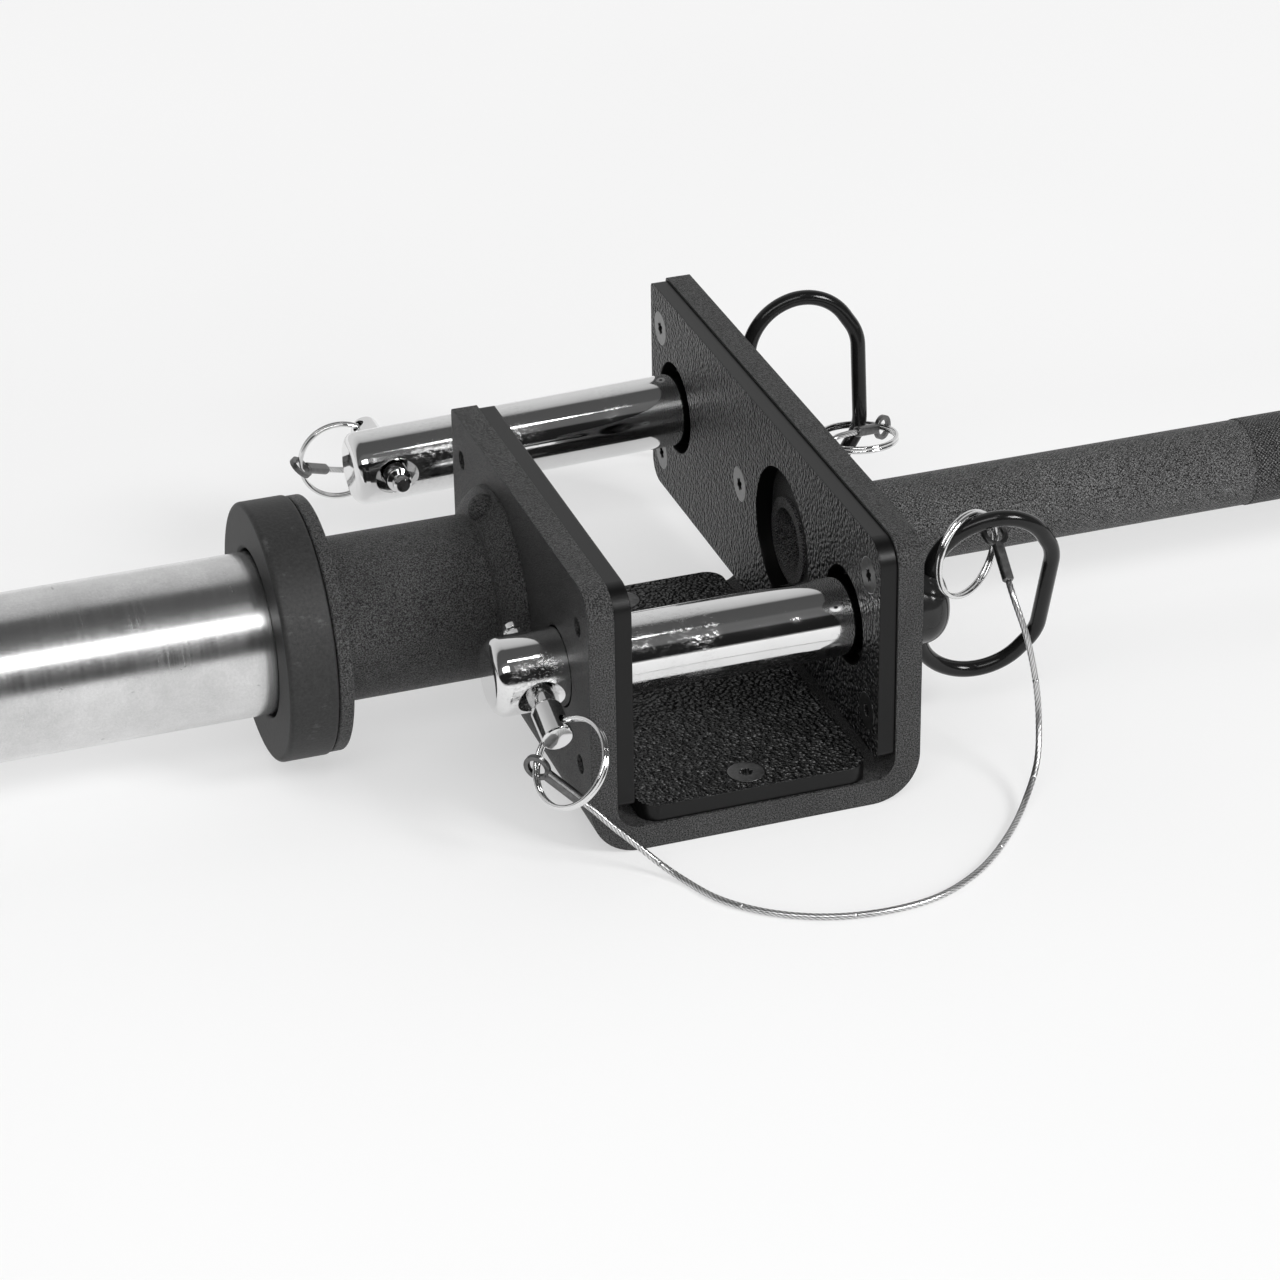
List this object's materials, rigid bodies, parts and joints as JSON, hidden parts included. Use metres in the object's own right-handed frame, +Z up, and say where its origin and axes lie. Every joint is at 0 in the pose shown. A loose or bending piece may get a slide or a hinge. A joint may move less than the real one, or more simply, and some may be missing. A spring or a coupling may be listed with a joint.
{
  "type": "jammer connector bar",
  "caption": "Straight bar with a U-shaped arm bracket and a plate sleeve at each end, held to the arms by hitch pins with locking pins on lanyards.",
  "frame": {"origin": "middle of the base, at the level of the two bracket undersides", "axes": "+X along the bar towards its right end, +Y away from the lifter, +Z up"},
  "size_m": [2.043, 0.308, 0.087],
  "materials": {
    "black_powder_coat": "black fine-textured powder coat",
    "bare_steel": "satin turned steel with light scratches",
    "cap_plastic": "matte black plastic",
    "bumper_rubber": "matte black rubber, lightly scuffed",
    "liner_plastic": "pebbled black plastic",
    "black_screw": "satin black oxide",
    "bright_zinc": "bright zinc plate",
    "knob_plastic": "glossy black plastic",
    "coated_wire": "glossy black vinyl coating",
    "bright_ring": "bright nickel",
    "crimped_steel": "dull crimped steel",
    "steel_rope": "bare twisted wire rope"
  },
  "bodies": {
    "frame": {"grip_bar": "black_powder_coat", "left_sleeve": "bare_steel", "left_sleeve_cap": "cap_plastic", "left_stop_flange": "black_powder_coat", "left_spacer": "black_powder_coat", "left_bracket": "black_powder_coat", "left_outer_liner": "liner_plastic", "left_inner_liner": "liner_plastic", "left_floor_liner": "liner_plastic", "left_liner_screws": "black_screw", "right_sleeve": "bare_steel", "right_sleeve_cap": "cap_plastic", "right_stop_flange": "black_powder_coat", "right_spacer": "black_powder_coat", "right_bracket": "black_powder_coat", "right_outer_liner": "liner_plastic", "right_inner_liner": "liner_plastic", "right_floor_liner": "liner_plastic", "right_liner_screws": "black_screw"},
    "left_bumper": {"left_bumper": "bumper_rubber"},
    "left_front_pin": {"left_front_pin": "bright_zinc", "left_front_knob": "knob_plastic", "left_front_cable": "steel_rope"},
    "left_front_handle": {"left_front_handle": "coated_wire"},
    "left_front_lock": {"left_front_lock": "bright_zinc"},
    "left_front_lock_ring": {"left_front_lock_ring": "bright_ring", "left_front_lock_eyelet": "crimped_steel"},
    "left_front_handle_ring": {"left_front_handle_ring": "bright_ring", "left_front_handle_eyelet": "crimped_steel"},
    "left_rear_pin": {"left_rear_pin": "bright_zinc", "left_rear_knob": "knob_plastic", "left_rear_cable": "steel_rope"},
    "left_rear_handle": {"left_rear_handle": "coated_wire"},
    "left_rear_lock": {"left_rear_lock": "bright_zinc"},
    "left_rear_lock_ring": {"left_rear_lock_ring": "bright_ring", "left_rear_lock_eyelet": "crimped_steel"},
    "left_rear_handle_ring": {"left_rear_handle_ring": "bright_ring", "left_rear_handle_eyelet": "crimped_steel"},
    "right_bumper": {"right_bumper": "bumper_rubber"},
    "right_front_pin": {"right_front_pin": "bright_zinc", "right_front_knob": "knob_plastic", "right_front_cable": "steel_rope"},
    "right_front_handle": {"right_front_handle": "coated_wire"},
    "right_front_lock": {"right_front_lock": "bright_zinc"},
    "right_front_lock_ring": {"right_front_lock_ring": "bright_ring", "right_front_lock_eyelet": "crimped_steel"},
    "right_front_handle_ring": {"right_front_handle_ring": "bright_ring", "right_front_handle_eyelet": "crimped_steel"},
    "right_rear_pin": {"right_rear_pin": "bright_zinc", "right_rear_knob": "knob_plastic", "right_rear_cable": "steel_rope"},
    "right_rear_handle": {"right_rear_handle": "coated_wire"},
    "right_rear_lock": {"right_rear_lock": "bright_zinc"},
    "right_rear_lock_ring": {"right_rear_lock_ring": "bright_ring", "right_rear_lock_eyelet": "crimped_steel"},
    "right_rear_handle_ring": {"right_rear_handle_ring": "bright_ring", "right_rear_handle_eyelet": "crimped_steel"}
  },
  "joints": [
    {"name": "left_bumper_slide", "type": "slide", "parent": "frame", "child": "left_bumper", "axis": [-1, 0, 0], "range_m": [0, 0.3]},
    {"name": "left_front_pin_roll", "type": "hinge", "parent": "frame", "child": "left_front_pin", "pos_m": [-0.584, -0.066, 0.05], "axis": [1, 0, 0], "range_deg": [-20, 20]},
    {"name": "left_front_handle_swing", "type": "hinge", "parent": "left_front_pin", "child": "left_front_handle", "pos_m": [-0.519, -0.066, 0.05], "axis": [0, -0.3007, 0.9537], "range_deg": [-20, 85]},
    {"name": "left_front_lock_pull", "type": "slide", "parent": "left_front_pin", "child": "left_front_lock", "axis": [0, -0.9537, -0.3007], "range_m": [0, 0.034], "deforming": ["left_front_cable"]},
    {"name": "left_front_lock_ring_swing", "type": "hinge", "parent": "left_front_lock", "child": "left_front_lock_ring", "pos_m": [-0.645, -0.08937, 0.04263], "axis": [0.6428, -0.2303, 0.7306], "range_deg": [-80, 12]},
    {"name": "left_front_handle_ring_swing", "type": "hinge", "parent": "left_front_handle", "child": "left_front_handle_ring", "pos_m": [-0.50821, -0.07643, 0.07868], "axis": [0.8902, -0.2372, 0.389], "range_deg": [-45, 8]},
    {"name": "left_rear_pin_slide", "type": "slide", "parent": "frame", "child": "left_rear_pin", "axis": [0.9997, 0, 0.0262], "range_m": [0, 0.09]},
    {"name": "left_rear_handle_swing", "type": "hinge", "parent": "left_rear_pin", "child": "left_rear_handle", "pos_m": [-0.51901, 0.087, 0.05044], "axis": [-0.0262, 0.0262, 0.9993], "range_deg": [-60, 85]},
    {"name": "left_rear_lock_pull", "type": "slide", "parent": "left_rear_pin", "child": "left_rear_lock", "axis": [0.0007, 0.9997, -0.0262], "range_m": [0, 0.034], "deforming": ["left_rear_cable"]},
    {"name": "left_rear_lock_ring_swing", "type": "hinge", "parent": "left_rear_lock", "child": "left_rear_lock_ring", "pos_m": [-0.64495, 0.11149, 0.04651], "axis": [-0.6626, 0.0201, 0.7487], "range_deg": [-80, 35]},
    {"name": "left_rear_handle_ring_swing", "type": "hinge", "parent": "left_rear_handle", "child": "left_rear_handle_ring", "pos_m": [-0.4819, 0.08268, 0.03349], "axis": [-0.3154, 0.0111, -0.9489], "range_deg": [-45, 45]},
    {"name": "right_bumper_slide", "type": "slide", "parent": "frame", "child": "right_bumper", "axis": [1, 0, 0], "range_m": [0, 0.3]},
    {"name": "right_front_pin_roll", "type": "hinge", "parent": "frame", "child": "right_front_pin", "pos_m": [0.584, -0.066, 0.05], "axis": [1, 0, 0], "range_deg": [-20, 20]},
    {"name": "right_front_handle_swing", "type": "hinge", "parent": "right_front_pin", "child": "right_front_handle", "pos_m": [0.519, -0.066, 0.05], "axis": [0, 0.3007, -0.9537], "range_deg": [-20, 85]},
    {"name": "right_front_lock_pull", "type": "slide", "parent": "right_front_pin", "child": "right_front_lock", "axis": [0, -0.9537, -0.3007], "range_m": [0, 0.034], "deforming": ["right_front_cable"]},
    {"name": "right_front_lock_ring_swing", "type": "hinge", "parent": "right_front_lock", "child": "right_front_lock_ring", "pos_m": [0.645, -0.08937, 0.04263], "axis": [0.6428, 0.2303, -0.7306], "range_deg": [-80, 12]},
    {"name": "right_front_handle_ring_swing", "type": "hinge", "parent": "right_front_handle", "child": "right_front_handle_ring", "pos_m": [0.50821, -0.07643, 0.07868], "axis": [0.8902, 0.2372, -0.389], "range_deg": [-45, 8]},
    {"name": "right_rear_pin_slide", "type": "slide", "parent": "frame", "child": "right_rear_pin", "axis": [-0.9997, 0, 0.0262], "range_m": [0, 0.09]},
    {"name": "right_rear_handle_swing", "type": "hinge", "parent": "right_rear_pin", "child": "right_rear_handle", "pos_m": [0.51901, 0.087, 0.05044], "axis": [-0.0262, -0.0262, -0.9993], "range_deg": [-60, 85]},
    {"name": "right_rear_lock_pull", "type": "slide", "parent": "right_rear_pin", "child": "right_rear_lock", "axis": [-0.0007, 0.9997, -0.0262], "range_m": [0, 0.034], "deforming": ["right_rear_cable"]},
    {"name": "right_rear_lock_ring_swing", "type": "hinge", "parent": "right_rear_lock", "child": "right_rear_lock_ring", "pos_m": [0.64495, 0.11149, 0.04651], "axis": [-0.6626, -0.0201, -0.7487], "range_deg": [-80, 35]},
    {"name": "right_rear_handle_ring_swing", "type": "hinge", "parent": "right_rear_handle", "child": "right_rear_handle_ring", "pos_m": [0.4819, 0.08268, 0.03349], "axis": [-0.3154, -0.0111, 0.9489], "range_deg": [-45, 45]}
  ]
}
